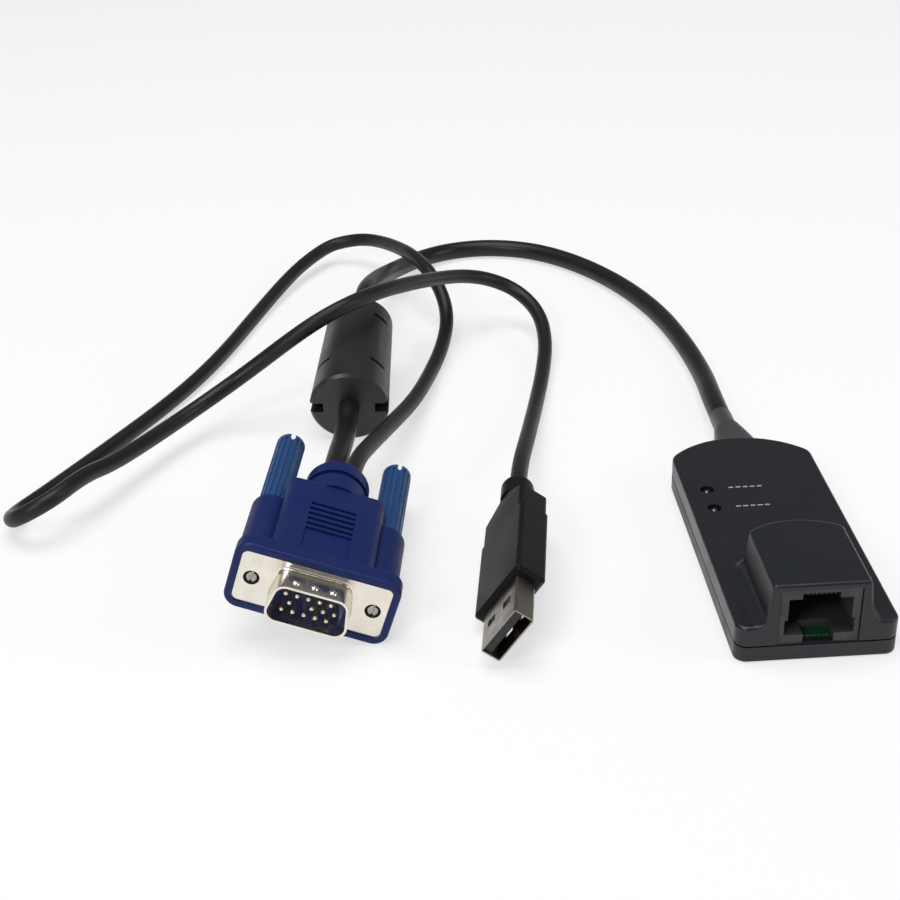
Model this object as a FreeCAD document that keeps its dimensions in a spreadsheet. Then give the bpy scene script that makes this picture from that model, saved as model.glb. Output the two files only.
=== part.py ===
import FreeCAD, Part
import math
import os
import Sketcher
from FreeCAD import Vector, Placement, Rotation

# Server console dongle: a small two-shell module with a modular jack at the
# front, a thick cable with a ferrite sleeve that ends in a 15-way video plug,
# and a thin cable from the same video plug to a USB plug.
# Module frame: X across, Y from the jack end (-Y) to the cable end (+Y), Z up,
# origin under the middle of the module with its boot, on the surface.
doc = FreeCAD.newDocument("kvm_dongle")
sheet = doc.addObject("Spreadsheet::Sheet", "Sizes")


class Q:
    """A size: the number it has now and the sheet expression that gives it."""

    def __init__(self, value, text=None):
        self.value = float(value)
        self.text = repr(float(value)) if text is None else text

    def __add__(self, other):
        other = q(other)
        return Q(self.value + other.value, "(%s + %s)" % (self.text, other.text))

    def __sub__(self, other):
        other = q(other)
        return Q(self.value - other.value, "(%s - %s)" % (self.text, other.text))

    def __mul__(self, other):
        other = q(other)
        return Q(self.value * other.value, "(%s * %s)" % (self.text, other.text))

    def __truediv__(self, other):
        other = q(other)
        return Q(self.value / other.value, "(%s / %s)" % (self.text, other.text))

    def __neg__(self):
        return Q(-self.value, "(0 - %s)" % self.text)

    def __radd__(self, other):
        return q(other) + self

    def __rsub__(self, other):
        return q(other) - self

    def __rmul__(self, other):
        return q(other) * self


def q(x):
    return x if isinstance(x, Q) else Q(x)


def root(x):
    return Q(math.sqrt(x.value), "sqrt(%s)" % x.text)


class Sizes:
    pass


S = Sizes()
rows = []


def size(alias, value):
    """Write one driving size to the sheet and keep it by name."""
    rows.append(alias)
    cell = "B%d" % len(rows)
    sheet.set("A%d" % len(rows), alias)
    sheet.set(cell, repr(value))
    sheet.setAlias(cell, alias)
    setattr(S, alias, Q(value, "Sizes." + alias))


SIZES = {
    # ---- module housing ----
    "case_width": 32.4,
    "case_side_length": 69.4,
    "case_arch_rise": 8.0,
    "case_wall": 1.8,
    "case_floor": 1.5,
    "case_front_corner": 2.6,
    "case_rear_corner": 4.0,
    "case_edge_round": 0.7,
    "case_bottom_round": 0.6,
    "lower_height": 3.9,
    "groove_height": 0.35,
    "groove_depth": 0.35,
    "upper_height": 4.3,
    "deck_skin": 1.2,
    "hump_width": 21.4,
    "hump_side_length": 21.4,
    "hump_arch_rise": 3.9,
    "hump_lean": 1.0,
    "hump_corner": 2.4,
    "hump_rise": 9.4,
    "hump_foot_round": 2.6,
    "hump_top_round": 0.9,
    "jack_skin": 1.3,
    # ---- jack ----
    "jack_width": 15.8,
    "jack_length": 17.5,
    "jack_gap": 0.15,
    "jack_setback": 0.35,
    "cavity_width": 12.6,
    "cavity_low_width": 13.8,
    "cavity_step": 3.4,
    "cavity_floor": 2.0,
    "cavity_roof": 2.05,
    "cavity_depth": 13.0,
    "latch_width": 9.2,
    "comb_width": 7.4,
    "comb_height": 1.3,
    "comb_depth": 5.2,
    "contact_count": 8,
    "contact_pitch": 0.92,
    "contact_width": 0.4,
    "contact_thick": 0.3,
    "contact_front": 1.2,
    "contact_drop": 4.6,
    # ---- board and lamps ----
    "board_thick": 1.0,
    "board_gap": 0.4,
    "board_length": 62.0,
    "post_radius": 1.6,
    "post_inset": 3.0,
    "led_radius": 1.3,
    "led_gap": 0.25,
    "led_flange": 0.5,
    "led_flange_thick": 0.8,
    "led_offset": 11.15,
    "led_from_front": 45.6,
    "led_pitch": 8.0,
    "led_sink": 0.3,
    # ---- cable boot ----
    "boot_length": 18.2,
    "boot_width": 10.4,
    "boot_height": 7.2,
    "boot_corner": 2.6,
    "boot_end_width": 6.3,
    "boot_end_corner": 3.0,
    "boot_root": 3.0,
    "boot_neck_radius": 2.65,
    "boot_axis_height": 4.2,
    "boot_offset": 0.9,
    "boot_collar_width": 9.0,
    "boot_collar_thick": 2.6,
    "boot_collar_gap": 0.1,
    # ---- cables ----
    "thick_radius": 2.6,
    "thin_radius": 1.95,
    # ---- ferrite sleeve ----
    "ferrite_length": 42.7,
    "ferrite_front_radius": 9.8,
    "ferrite_rear_radius": 8.6,
    "ferrite_shoulder": 5.4,
    "ferrite_bevel": 0.7,
    "ferrite_slot_length": 4.6,
    "ferrite_slot_width": 1.1,
    "ferrite_slot_depth": 1.0,
    "ferrite_slot_front": 9.5,
    "ferrite_slot_rear": 30.5,
    "ferrite_slot_angle": 47.0,
    "ferrite_notch_width": 2.6,
    "ferrite_notch_depth": 3.4,
    "ferrite_notch_length": 4.0,
    "core_radius": 6.6,
    "core_end": 6.0,
    "core_gap": 0.4,
    # ---- video plug ----
    "plate_width": 30.8,
    "plate_height": 12.5,
    "plate_thick": 0.9,
    "plate_corner": 1.3,
    "rim_margin": 1.65,
    "rim_corner": 3.2,
    "rim_depth": 3.9,
    "rim_proud": 0.4,
    "rim_round": 0.7,
    "hood_width": 21.6,
    "hood_height": 12.8,
    "hood_length": 31.2,
    "hood_corner": 2.4,
    "hood_rear_round": 1.2,
    "screw_spacing": 25.0,
    "sleeve_radius": 4.25,
    "sleeve_length": 24.6,
    "collar_radius": 7.1,
    "collar_length": 9.8,
    "collar_round": 1.0,
    "collar_groove_width": 1.5,
    "collar_groove_depth": 0.7,
    "collar_groove_place": 4.0,
    "grip_count": 5,
    "grip_pitch": 1.9,
    "grip_groove": 0.9,
    "grip_depth": 0.7,
    "grip_width": 9.8,
    "grip_start": 14.3,
    "panel_start": 4.4,
    "panel_length": 9.0,
    "panel_depth": 0.5,
    "shell_width": 17.7,
    "shell_height": 9.1,
    "shell_slant": 10.0,
    "shell_corner": 2.6,
    "shell_depth": 6.0,
    "shell_wall": 0.5,
    "shell_flare": 0.6,
    "dimple_radius": 1.1,
    "dimple_proud": 0.35,
    "dimple_pitch": 3.75,
    "dimple_place": 3.9,
    "insulator_proud": 0.8,
    "insulator_width": 15.6,
    "insulator_height": 7.0,
    "insulator_back": 6.0,
    "pin_radius": 0.5,
    "pin_reach": 5.0,
    "pin_pitch": 2.29,
    "pin_rows": 1.98,
    "pin_shift": -0.57,
    # ---- thumbscrews ----
    "knob_radius": 3.25,
    "knob_gap": 0.07,
    "knob_start": 9.0,
    "knob_end_gap": 0.15,
    "knob_end": 52.8,
    "knob_bevel": 0.6,
    "spline_count": 16,
    "spline_radius": 0.34,
    "spline_gap": 1.5,
    "spline_tail": 1.8,
    "knob_slot_width": 1.0,
    "knob_slot_depth": 2.2,
    "screw_radius": 1.42,
    "screw_gap": 0.08,
    "screw_tip": 0.1,
    "screw_bite": 12.0,
    # ---- usb plug ----
    "usb_width": 12.0,
    "usb_height": 4.5,
    "usb_exposed": 12.0,
    "usb_buried": 5.0,
    "usb_wall": 0.3,
    "usb_corner": 0.5,
    "usb_window_width": 2.5,
    "usb_window_length": 2.3,
    "usb_window_offset": 2.65,
    "usb_window_back": 5.2,
    "tongue_thick": 1.85,
    "tongue_setback": 0.5,
    "usb_contact_width": 1.0,
    "usb_contact_length": 7.4,
    "usb_contact_thick": 0.2,
    "usb_contact_start": 1.5,
    "usb_contact_inner": 1.0,
    "usb_contact_outer": 3.5,
    "mould_width": 16.0,
    "mould_height": 7.0,
    "mould_block_length": 25.5,
    "mould_step": 0.7,
    "mould_rear_length": 8.0,
    "mould_corner": 0.9,
    "mould_front_bevel": 0.8,
    "mould_taper": 5.0,
    "neck_radius": 3.7,
    "neck_length": 6.5,
    "neck_step": 0.45,
    "neck_round": 1.1,
}
for alias, value in SIZES.items():
    size(alias, value)
doc.recompute()

# ---- places that follow from the sizes ----
CASE_LENGTH = S.case_side_length + S.case_arch_rise
REAR = (CASE_LENGTH - S.boot_length) / 2          # rear of the case arch
FRONT = REAR - CASE_LENGTH                        # jack face of the case
BOOT_END = REAR + S.boot_length
CASE_HALF = S.case_width / 2
CASE_BEND = (CASE_HALF * CASE_HALF + S.case_arch_rise * S.case_arch_rise) / (S.case_arch_rise * 2)
CASE_CENTRE = REAR - CASE_BEND                    # centre of the arched end
HUMP_HALF = S.hump_width / 2
HUMP_BEND = (HUMP_HALF * HUMP_HALF + S.hump_arch_rise * S.hump_arch_rise) / (S.hump_arch_rise * 2)
HUMP_BACK = FRONT + S.hump_side_length + S.hump_arch_rise
HUMP_CENTRE = HUMP_BACK - HUMP_BEND
DECK = S.lower_height + S.upper_height
HUMP_TOP = DECK + S.hump_rise
JACK_TOP = HUMP_TOP - S.jack_skin - S.jack_gap
JACK_FRONT = FRONT + S.jack_setback
BOARD_BOTTOM = S.lower_height - S.board_thick
BOARD_FRONT = FRONT + S.case_wall + S.board_gap
BOARD_HALF = S.case_width / 2 - S.case_wall - S.board_gap
INNER_CEILING = DECK - S.deck_skin
LED_FRONT = FRONT + S.led_from_front
LED_BACK = LED_FRONT + S.led_pitch
MOULD_END = S.usb_exposed + S.mould_block_length
NECK_START = MOULD_END + S.mould_rear_length
USB_END = NECK_START + S.mould_taper + S.neck_length
COLLAR_END = S.hood_length + S.collar_length

parts = {}


def keep(label, obj, place=None):
    """Name a finished sub-part and, on a plug, give it the plug's place."""
    obj.Label = label
    if place is not None:
        obj.Placement = place
    parts[label] = obj
    return obj


def new_body(label, place=None):
    return keep(label, doc.addObject("PartDesign::Body", "Body"), place)


def bind(obj, **sizes):
    for name, quantity in sizes.items():
        obj.setExpression(name.replace("__", "."), q(quantity).text)


def sketch(body, role, offset=0):
    sk = body.newObject("Sketcher::SketchObject", "Sketch")
    plane = [f for f in body.Origin.OriginFeatures if f.Role == role][0]
    sk.AttachmentSupport = (plane, [""])
    sk.MapMode = "FlatFace"
    bind(sk, AttachmentOffset__Base__z=offset)
    return sk


def pin_point(sk, geo, pos, x, y):
    """Hold a sketch point at x, y; a plain 0 means on the axis."""
    for kind, value, axis in (("DistanceX", x, -2), ("DistanceY", y, -1)):
        if not isinstance(value, Q) and value == 0:
            sk.addConstraint(Sketcher.Constraint("PointOnObject", geo, pos, axis))
        else:
            value = q(value)
            i = sk.addConstraint(Sketcher.Constraint(kind, -1, 1, geo, pos, value.value))
            sk.setExpression("Constraints[%d]" % i, value.text)


def hold_radius(sk, geo, radius):
    i = sk.addConstraint(Sketcher.Constraint("Radius", geo, radius.value))
    sk.setExpression("Constraints[%d]" % i, radius.text)


def polygon(sk, points):
    xy = [Vector(q(x).value, q(y).value, 0) for x, y in points]
    n = len(xy)
    first = sk.GeometryCount
    for i in range(n):
        sk.addGeometry(Part.LineSegment(xy[i], xy[(i + 1) % n]), False)
    for i in range(n):
        sk.addConstraint(Sketcher.Constraint("Coincident", first + i, 2, first + (i + 1) % n, 1))
    for i, (x, y) in enumerate(points):
        pin_point(sk, first + i, 1, x, y)


def rectangle(sk, x0, y0, x1, y1):
    polygon(sk, [(x0, y0), (x1, y0), (x1, y1), (x0, y1)])


def centred(sk, x, y, width, height):
    rectangle(sk, x - q(width) / 2, y - q(height) / 2, x + q(width) / 2, y + q(height) / 2)


def circle(sk, x, y, radius):
    radius = q(radius)
    i = sk.addGeometry(Part.Circle(Vector(q(x).value, q(y).value, 0), Vector(0, 0, 1),
                                   radius.value), False)
    pin_point(sk, i, 3, x, y)
    hold_radius(sk, i, radius)


def rounded(sk, x, y, width, height, corner):
    """A rectangle with four equal corner arcs, centred on x, y."""
    x, y, w, h, r = q(x), q(y), q(width) / 2, q(height) / 2, q(corner)
    corners = ((1, 1), (-1, 1), (-1, -1), (1, -1))
    first = sk.GeometryCount
    for k, (i, j) in enumerate(corners):
        centre = Vector(x.value + i * (w.value - r.value), y.value + j * (h.value - r.value), 0)
        ring = Part.Circle(centre, Vector(0, 0, 1), r.value)
        sk.addGeometry(Part.ArcOfCircle(ring, k * math.pi / 2, (k + 1) * math.pi / 2), False)
    for k in range(4):
        a, b = sk.Geometry[first + k].EndPoint, sk.Geometry[first + (k + 1) % 4].StartPoint
        sk.addGeometry(Part.LineSegment(a, b), False)
    for k, (i, j) in enumerate(corners):
        nxt = first + (k + 1) % 4
        sk.addConstraint(Sketcher.Constraint("Tangent", first + k, 2, first + 4 + k, 1))
        sk.addConstraint(Sketcher.Constraint("Tangent", nxt, 1, first + 4 + k, 2))
        pin_point(sk, first + k, 3, x + i * (w - r), y + j * (h - r))
    hold_radius(sk, first, r)


def arched(sk, half, y0, centre, radius, rear, front=None):
    """A plan with straight sides, an arched far end and rounded corners."""
    half, y0, centre, radius, rear = q(half), q(y0), q(centre), q(radius), q(rear)
    corner_y = centre + root((radius - rear) * (radius - rear) - (half - rear) * (half - rear))
    h, a, c, r, rr, cy = (v.value for v in (half, y0, centre, radius, rear, corner_y))
    swing = math.atan2(cy - c, h - rr)
    f = q(front).value if front is not None else 0.0

    def arc(x, y, size_, start, end):
        return Part.ArcOfCircle(Part.Circle(Vector(x, y, 0), Vector(0, 0, 1), size_), start, end)

    loop = [(Part.LineSegment(Vector(-h, cy, 0), Vector(-h, a + f, 0)), 1, 2)]
    if front is not None:
        loop.append((arc(f - h, a + f, f, math.pi, 1.5 * math.pi), 1, 2))
    loop.append((Part.LineSegment(Vector(f - h, a, 0), Vector(h - f, a, 0)), 1, 2))
    if front is not None:
        loop.append((arc(h - f, a + f, f, 1.5 * math.pi, 2 * math.pi), 1, 2))
    loop.append((Part.LineSegment(Vector(h, a + f, 0), Vector(h, cy, 0)), 1, 2))
    loop.append((arc(h - rr, cy, rr, 0, swing), 1, 2))
    loop.append((arc(0, c, r, swing, math.pi - swing), 1, 2))
    loop.append((arc(rr - h, cy, rr, math.pi - swing, math.pi), 1, 2))
    n = len(loop)
    for shape, _, _ in loop:
        sk.addGeometry(shape, False)
    for k, (shape, _, end) in enumerate(loop):
        nxt = (k + 1) % n
        sharp = front is None and k in (0, 1)
        sk.addConstraint(Sketcher.Constraint("Coincident" if sharp else "Tangent", k, end, nxt, 1))
    pin_point(sk, n - 3, 3, half - rear, corner_y)
    pin_point(sk, n - 2, 3, 0, centre)
    pin_point(sk, n - 1, 3, rear - half, corner_y)
    hold_radius(sk, n - 2, radius)
    if front is None:
        pin_point(sk, 1, 1, -half, y0)
        pin_point(sk, 1, 2, half, y0)
    else:
        for k, x in ((1, front - half), (3, half - front)):
            pin_point(sk, k, 3, x, y0 + front)
            hold_radius(sk, k, front)


def settled(feature):
    doc.recompute()
    if "Invalid" in feature.State or feature.Shape.isNull():
        raise RuntimeError("%s failed" % feature.Name)
    return feature


def pad(body, sk, length, reverse=False):
    f = body.newObject("PartDesign::Pad", "Pad")
    f.Profile = sk
    bind(f, Length=length)
    f.Reversed = reverse
    return settled(f)


def pocket(body, sk, length, reverse=False):
    before = body.Tip.Shape.Volume
    f = body.newObject("PartDesign::Pocket", "Pocket")
    f.Profile = sk
    bind(f, Length=length)
    f.Reversed = reverse
    settled(f)
    if f.Shape.Volume > before - 1e-6:
        raise RuntimeError("a pocket of %s cuts nothing" % body.Label)
    return f


def pad_z(body, z, height, draw, *args):
    sk = sketch(body, "XY_Plane", z)
    draw(sk, *args)
    return pad(body, sk, height)


def cut_z(body, z, height, draw, *args):
    """Cut upwards from z."""
    sk = sketch(body, "XY_Plane", z)
    draw(sk, *args)
    return pocket(body, sk, height, True)


def pad_y(body, y, length, draw, *args):
    """Add from y rearwards; the sketch's axes are X and Z."""
    sk = sketch(body, "XZ_Plane", -q(y))
    draw(sk, *args)
    return pad(body, sk, length, True)


def cut_y(body, y, length, draw, *args):
    """Cut from y rearwards."""
    sk = sketch(body, "XZ_Plane", -q(y))
    draw(sk, *args)
    return pocket(body, sk, length)


def loft(body, first, last):
    f = body.newObject("PartDesign::AdditiveLoft", "Loft")
    f.Profile = first
    f.Sections = [last]
    f.Ruled = True
    return settled(f)


def soften(body, radius, wanted, kind="Fillet"):
    """Round, or bevel, the edges of the body's last feature that are wanted."""
    base = body.Tip
    names = ["Edge%d" % (i + 1) for i, e in enumerate(base.Shape.Edges) if wanted(e)]
    if not names:
        raise RuntimeError("no such edges on %s" % body.Label)
    f = body.newObject("PartDesign::" + kind, kind)
    f.Base = (base, names)
    bind(f, **{"Radius" if kind == "Fillet" else "Size": radius})
    return settled(f)


def near(a, b, tol=0.02):
    return abs(q(a).value - q(b).value) < tol


def mid(edge):
    return edge.valueAt((edge.FirstParameter + edge.LastParameter) / 2)


def along(edge, axis):
    """True for a straight edge that runs along one axis: 0, 1 or 2."""
    if edge.Degenerated or len(edge.Vertexes) < 2:
        return False
    if not isinstance(edge.Curve, (Part.Line, Part.LineSegment)):
        return False
    d = edge.Vertexes[1].Point - edge.Vertexes[0].Point
    return abs(d[axis]) > 0.999 * d.Length


def flat_in(edge, axis, place):
    """True for an edge that lies in the plane axis = place."""
    if edge.Degenerated:
        return False
    box = edge.BoundBox
    low, high = ((box.XMin, box.XMax), (box.YMin, box.YMax), (box.ZMin, box.ZMax))[axis]
    return near(low, place) and near(high, place)


def solid(kind, place=None, **sizes):
    """A Part primitive with its sizes and its place bound to the sheet."""
    obj = doc.addObject("Part::" + kind, kind)
    bind(obj, **sizes)
    if place is not None:
        bind(obj, Placement__Base__x=place[0], Placement__Base__y=place[1],
             Placement__Base__z=place[2])
    return obj


def rod(x, y, z, radius, length):
    """A cylinder along Y from y rearwards."""
    obj = solid("Cylinder", (x, y, z), Radius=radius, Height=length)
    obj.Placement.Rotation = Rotation(Vector(1, 0, 0), -90)
    return obj


def block(x0, y0, z0, width, length, height):
    return solid("Box", (x0, y0, z0), Length=width, Width=length, Height=height)


def cut(base, tools):
    obj = doc.addObject("Part::Cut", "Cut")
    obj.Base = base
    if len(tools) == 1:
        obj.Tool = tools[0]
    else:
        group = doc.addObject("Part::MultiFuse", "Tools")
        group.Shapes = tools
        obj.Tool = group
    obj.Refine = True
    return settled(obj)


def group_of(label, shapes, place=None):
    """Several like solids in one node."""
    obj = doc.addObject("Part::Compound", "Compound")
    obj.Links = shapes
    settled(obj)
    return keep(label, obj, place)


# =============================================================== the housing
def case_plan(sk, inset):
    """The housing's plan, set in all round by a wall or a shadow line."""
    inset = q(inset)
    arched(sk, CASE_HALF - inset, FRONT + inset, CASE_CENTRE, CASE_BEND - inset,
           S.case_rear_corner - inset, S.case_front_corner - inset)


# ---- lower case: a tray with four posts that carry the board ----
lower = new_body("lower_case")
pad_z(lower, 0, S.lower_height - S.groove_height, case_plan, 0)
soften(lower, S.case_bottom_round, lambda e: flat_in(e, 2, 0))
# the rim above the shadow line that runs round the parting
pad_z(lower, S.lower_height - S.groove_height, S.groove_height, case_plan, S.groove_depth)
cut_z(lower, S.case_floor, S.lower_height, case_plan, S.case_wall)
for fx in (-1, 1):
    for y in (BOARD_FRONT + S.post_inset, BOARD_FRONT + S.board_length - S.post_inset):
        pad_z(lower, S.case_floor, BOARD_BOTTOM - S.case_floor, circle,
              fx * (BOARD_HALF - S.post_inset), y, S.post_radius)
NECK_START_Y = REAR - S.boot_root - S.case_wall
cut_y(lower, NECK_START_Y, S.boot_root * 2 + S.case_wall, circle,
      S.boot_offset, S.boot_axis_height, S.boot_neck_radius)

# ---- upper cover: deck, arched hump over the jack, one moulding ----
upper = new_body("upper_cover")
pad_z(upper, S.lower_height, S.upper_height, case_plan, 0)
foot = sketch(upper, "XY_Plane", DECK)
arched(foot, HUMP_HALF, FRONT, HUMP_CENTRE, HUMP_BEND, S.hump_corner)
crown = sketch(upper, "XY_Plane", HUMP_TOP)
arched(crown, HUMP_HALF - S.hump_lean, FRONT, HUMP_CENTRE, HUMP_BEND - S.hump_lean,
       S.hump_corner - S.hump_lean)
loft(upper, foot, crown)


def on_hump_foot(e):
    return (flat_in(e, 2, DECK) and abs(mid(e).x) < HUMP_HALF.value + 0.05
            and FRONT.value + 0.05 < mid(e).y < HUMP_BACK.value + 0.1)


soften(upper, S.hump_top_round, lambda e: flat_in(e, 2, HUMP_TOP) and not flat_in(e, 1, FRONT))
soften(upper, S.hump_foot_round, on_hump_foot)
# one round runs along the whole front outline and round the deck
soften(upper, S.case_edge_round,
       lambda e: (flat_in(e, 2, DECK) and not on_hump_foot(e))
       or (flat_in(e, 1, FRONT) and e.BoundBox.ZMin > DECK.value - 0.02))
cut_z(upper, S.lower_height, INNER_CEILING - S.lower_height, case_plan, S.case_wall)
cut_z(upper, S.lower_height, JACK_TOP + S.jack_gap - S.lower_height, rectangle,
      -S.jack_width / 2 - S.jack_gap, FRONT - 1, S.jack_width / 2 + S.jack_gap,
      JACK_FRONT + S.jack_length + S.jack_gap)
for y in (LED_FRONT, LED_BACK):
    cut_z(upper, S.lower_height, S.upper_height * 2, circle, -S.led_offset, y,
          S.led_radius + S.led_gap)
neck_hole = cut_y(upper, NECK_START_Y, S.boot_root * 2 + S.case_wall, circle,
                  S.boot_offset, S.boot_axis_height, S.boot_neck_radius)
neck_hole.Refine = False
settled(neck_hole)

# ---- circuit board on the posts ----
board = new_body("circuit_board")
pad_z(board, BOARD_BOTTOM, S.board_thick, rectangle, -BOARD_HALF, BOARD_FRONT, BOARD_HALF,
      BOARD_FRONT + S.board_length)
soften(board, S.board_thick, lambda e: along(e, 2))

# ---- jack: a stepped cavity with a comb above and a latch slot below ----
jack = new_body("jack_housing")
pad_z(jack, S.lower_height, JACK_TOP - S.lower_height, rectangle, -S.jack_width / 2, JACK_FRONT,
      S.jack_width / 2, JACK_FRONT + S.jack_length)
CAVITY_LOW = S.lower_height + S.cavity_floor
CAVITY_MID = CAVITY_LOW + S.cavity_step
CAVITY_TOP = JACK_TOP - S.cavity_roof
half_profile = [(S.latch_width / 2, S.lower_height), (S.latch_width / 2, CAVITY_LOW),
                (S.cavity_low_width / 2, CAVITY_LOW), (S.cavity_low_width / 2, CAVITY_MID),
                (S.cavity_width / 2, CAVITY_MID), (S.cavity_width / 2, CAVITY_TOP)]
cut_y(jack, JACK_FRONT, S.cavity_depth, polygon,
      half_profile + [(-x, z) for x, z in reversed(half_profile)])
cut_y(jack, JACK_FRONT, S.comb_depth, rectangle, -S.comb_width / 2, CAVITY_TOP - 0.5,
      S.comb_width / 2, CAVITY_TOP + S.comb_height)

# spring contacts: from the comb's roof down to the back wall of the cavity
wires = []
run = S.cavity_depth - S.contact_front
dip = math.atan2(S.contact_drop.value, run.value)
for i in range(int(S.contact_count.value)):
    wire = solid("Box", Length=S.contact_width, Height=S.contact_thick)
    wire.Width = run.value / math.cos(dip)
    wire.Placement = Placement(
        Vector((S.contact_pitch * (i - (S.contact_count.value - 1) / 2)
                - S.contact_width / 2).value,
               (JACK_FRONT + S.contact_front).value - S.contact_thick.value * math.sin(dip),
               (CAVITY_TOP + S.comb_height).value - S.contact_thick.value * math.cos(dip)),
        Rotation(Vector(1, 0, 0), -math.degrees(dip)))
    wires.append(wire)
group_of("jack_contacts", wires)

# two domed lamps that stand on the board
for label, y in (("active_led", LED_FRONT), ("power_led", LED_BACK)):
    lamp = new_body(label)
    pad_z(lamp, S.lower_height, S.led_flange_thick, circle, -S.led_offset, y,
          S.led_radius + S.led_flange)
    pad_z(lamp, S.lower_height, S.upper_height - S.led_sink, circle, -S.led_offset, y,
          S.led_radius)
    soften(lamp, S.led_radius * 0.45, lambda e: flat_in(e, 2, DECK - S.led_sink))

# ---- boot: a tapered strain relief with a neck and a collar inside ----
boot = new_body("cable_boot")
wide = sketch(boot, "XZ_Plane", -(REAR - S.boot_root))
rounded(wide, S.boot_offset, S.boot_axis_height, S.boot_width, S.boot_height, S.boot_corner)
tip = sketch(boot, "XZ_Plane", -BOOT_END)
rounded(tip, S.boot_offset, S.boot_axis_height, S.boot_end_width, S.boot_end_width,
        S.boot_end_corner)
loft(boot, wide, tip)
cut_z(boot, -1, DECK * 2, case_plan, 0)
pad_y(boot, NECK_START_Y, S.boot_root + S.case_wall + 1, circle, S.boot_offset,
      S.boot_axis_height, S.boot_neck_radius)


def collar_plan(sk):
    """Straight front, and a back that follows the inside of the case arch."""
    radius = CASE_BEND - S.case_wall
    x0, x1 = S.boot_offset - S.boot_collar_width / 2, S.boot_offset + S.boot_collar_width / 2
    y0 = REAR - S.case_wall - S.boot_collar_thick
    a, b, c, r = x0.value, x1.value, CASE_CENTRE.value, radius.value
    ya, yb = c + math.sqrt(r * r - a * a), c + math.sqrt(r * r - b * b)
    sk.addGeometry(Part.LineSegment(Vector(a, ya, 0), Vector(a, y0.value, 0)), False)
    sk.addGeometry(Part.LineSegment(Vector(a, y0.value, 0), Vector(b, y0.value, 0)), False)
    sk.addGeometry(Part.LineSegment(Vector(b, y0.value, 0), Vector(b, yb, 0)), False)
    sk.addGeometry(Part.Arc(Vector(b, yb, 0), Vector(0, c + r, 0), Vector(a, ya, 0)), False)
    for i in range(4):
        sk.addConstraint(Sketcher.Constraint("Coincident", i, 2, (i + 1) % 4, 1))
    pin_point(sk, 1, 1, x0, y0)
    pin_point(sk, 2, 1, x1, y0)
    sk.addConstraint(Sketcher.Constraint("Vertical", 0))
    sk.addConstraint(Sketcher.Constraint("Vertical", 2))
    pin_point(sk, 3, 3, 0, CASE_CENTRE)
    hold_radius(sk, 3, radius)


pad_z(boot, S.case_floor + S.boot_collar_gap,
      INNER_CEILING - S.case_floor - S.boot_collar_gap * 2, collar_plan)


# ======================================================== the ferrite sleeve
def frame(x, y, z, yaw, pitch, roll=0.0):
    """A place from a point and turns about Z, then X, then Y."""
    turn = Rotation(Vector(0, 0, 1), yaw).multiply(Rotation(Vector(1, 0, 0), pitch))
    return Placement(Vector(x, y, z), turn.multiply(Rotation(Vector(0, 1, 0), roll)))


# Loose pieces lie where the cables leave them, each with its axis along its
# own Y, rearwards.
FERRITE_AT = frame(-91.0, 52.0, 9.7, -5.32, 8.76)
VIDEO_AT = frame(-98.4, -33.2, 12.0, -7.0, 1.2, 18.2)
USB_AT = frame(-60.7, -45.7, 8.25, -7.6, 0.0, -55.5)

sleeve = doc.addObject("PartDesign::Body", "Body")
sleeve.Label = "sleeve_moulding"
sk = sketch(sleeve, "XY_Plane")
bore, r1, r2 = S.thick_radius, S.ferrite_front_radius, S.ferrite_rear_radius
dome = S.ferrite_shoulder
outline = [(bore, 0), (r1 - S.ferrite_bevel, 0), (r1, S.ferrite_bevel),
           (r2, S.ferrite_length - dome), (r2 - dome, S.ferrite_length),
           (bore, S.ferrite_length)]
polygon(sk, outline)
turned = sleeve.newObject("PartDesign::Revolution", "Revolution")
turned.Profile = sk
turned.ReferenceAxis = (sk, ["V_Axis"])
turned.Angle = 360
settled(turned)
sk = sketch(sleeve, "XY_Plane")
rectangle(sk, bore - 0.5, S.core_end, S.core_radius, S.ferrite_length - S.core_end)
hollow = sleeve.newObject("PartDesign::Groove", "Groove")
hollow.Profile = sk
hollow.ReferenceAxis = (sk, ["V_Axis"])
hollow.Angle = 360
settled(hollow)
tools = []
for side in (-1, 1):
    for y, radius in ((S.ferrite_slot_front, S.ferrite_front_radius),
                      (S.ferrite_slot_rear, S.ferrite_rear_radius)):
        slot = solid("Box", Length=S.ferrite_slot_length, Width=S.ferrite_slot_width,
                     Height=S.ferrite_slot_depth + 2)
        turn = Rotation(Vector(0, 1, 0), side * S.ferrite_slot_angle.value)
        corner = Vector(-S.ferrite_slot_length.value / 2, y.value,
                        radius.value - S.ferrite_slot_depth.value)
        slot.Placement = Placement(turn.multVec(corner), turn)
        tools.append(slot)
    tools.append(block(side * S.ferrite_front_radius - S.ferrite_notch_depth, -1,
                       -S.ferrite_notch_width / 2, S.ferrite_notch_depth * 2,
                       S.ferrite_notch_length + 1, S.ferrite_notch_width))
keep("ferrite_sleeve", cut(sleeve, tools), FERRITE_AT)
core = cut(rod(0, S.core_end, 0, S.core_radius, S.ferrite_length - S.core_end * 2),
           [rod(0, 0, 0, S.thick_radius + S.core_gap, S.ferrite_length)])
keep("ferrite_core", core, FERRITE_AT)

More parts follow.
